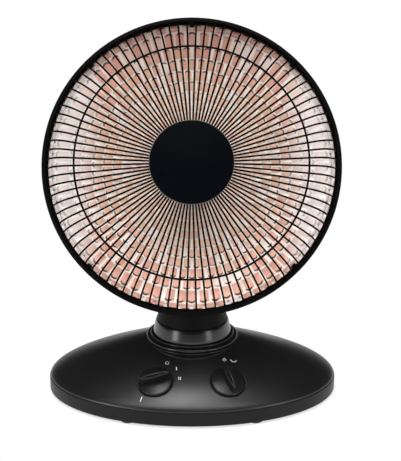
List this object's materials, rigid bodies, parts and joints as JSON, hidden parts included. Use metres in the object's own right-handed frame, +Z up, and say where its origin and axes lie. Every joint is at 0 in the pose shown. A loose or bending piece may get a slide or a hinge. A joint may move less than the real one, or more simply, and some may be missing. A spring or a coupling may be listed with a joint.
{
  "type": "oscillating radiant heater",
  "caption": "Round radiant dish heater behind a wire guard, on a swivelling, tilting neck over a low oval base with two knobs.",
  "frame": {"origin": "on the floor under the middle of the oval base, on the swivel axis", "axes": "+Z up along the swivel axis, -Y out of the front where the knobs are, +X to the right of someone who looks at the front"},
  "size_m": [0.3616, 0.242, 0.4637],
  "materials": {
    "satin_black": "satin",
    "black_enamel": "satin",
    "rubber": "matt",
    "grey_plastic": "matt",
    "white_plastic": "satin",
    "zinc_steel": "satin",
    "cast_iron": "rough",
    "warm_reflector": "bright, copper tinted",
    "ceramic": "matt",
    "element_wire": "matt, oxidised",
    "brass": "satin"
  },
  "bodies": {
    "base": {"base_cover": "satin_black", "base_tray": "satin_black", "foot_front_left": "rubber", "foot_front_right": "rubber", "foot_rear_left": "rubber", "foot_rear_right": "rubber", "base_screw_front_left": "zinc_steel", "base_screw_front_right": "zinc_steel", "base_screw_rear_left": "zinc_steel", "base_screw_rear_right": "zinc_steel", "counterweight": "cast_iron", "terminal_block": "white_plastic", "cord_gland": "rubber", "neck_collar": "satin_black", "swivel_bearing": "white_plastic", "tip_over_switch": "grey_plastic", "oscillation_motor": "zinc_steel", "motor_bracket": "zinc_steel", "heat_switch": "grey_plastic", "oscillation_switch": "grey_plastic"},
    "swivel_neck": {"neck_turret": "satin_black", "swivel_arm": "zinc_steel", "spindle_nut": "brass", "arm_spacer": "zinc_steel", "spindle_clip": "zinc_steel", "tilt_yoke": "zinc_steel", "tilt_bolt": "zinc_steel", "tilt_nut": "satin_black"},
    "head": {"rear_shell": "satin_black", "rear_housing": "satin_black", "tilt_bracket": "zinc_steel", "rim_ring": "black_enamel", "reflector_dish": "warm_reflector", "wire_guard": "black_enamel", "guard_hub_ring": "black_enamel", "guard_outer_ring": "black_enamel", "guard_ring_wire": "black_enamel", "centre_cap": "black_enamel", "guard_clip_upper_right": "black_enamel", "guard_clip_upper_left": "black_enamel", "guard_clip_lower_left": "black_enamel", "guard_clip_lower_right": "black_enamel", "guard_clip_top": "black_enamel", "element_plate": "zinc_steel", "ceramic_foot": "ceramic", "ceramic_core": "ceramic", "heating_coil": "element_wire", "element_bolt": "zinc_steel", "element_terminal_left": "brass", "element_terminal_right": "brass", "thermal_cutout": "grey_plastic"},
    "crank": {"motor_output_shaft": "zinc_steel", "crank_arm": "white_plastic"},
    "heat_control": {"heat_knob": "satin_black", "heat_switch_shaft": "zinc_steel"},
    "oscillation_control": {"oscillation_knob": "satin_black", "oscillation_switch_shaft": "zinc_steel"},
    "tip_over_button": {"tip_over_plunger": "white_plastic"}
  },
  "joints": [
    {"name": "swivel", "type": "hinge", "parent": "base", "child": "swivel_neck", "pos_m": [0, 0, 0.0656], "axis": [0, 0, 1], "range_deg": [-35, 35]},
    {"name": "tilt", "type": "hinge", "parent": "swivel_neck", "child": "head", "pos_m": [0, 0.012, 0.16], "axis": [1, 0, 0], "range_deg": [-12, 15]},
    {"name": "crank_turn", "type": "hinge", "parent": "base", "child": "crank", "pos_m": [0, 0.036, 0.0332], "axis": [0, 0, 1], "range_deg": [-105, 105]},
    {"name": "heat_knob_turn", "type": "hinge", "parent": "base", "child": "heat_control", "pos_m": [-0.044, -0.086, 0.04553], "axis": [-0.1075, -0.4689, 0.8767], "range_deg": [0, 52]},
    {"name": "oscillation_knob_turn", "type": "hinge", "parent": "base", "child": "oscillation_control", "pos_m": [0.044, -0.086, 0.04553], "axis": [0.1075, -0.4689, 0.8767], "range_deg": [-25, 0]},
    {"name": "tip_over_plunge", "type": "slide", "parent": "base", "child": "tip_over_button", "axis": [0, 0, -1], "range_m": [0, 0.006], "stiffness_N_per_m": 60, "springref_m": 0.009}
  ],
  "couplings": [
    {"joint": "crank_turn", "follows": "swivel", "ratio": 3}
  ]
}
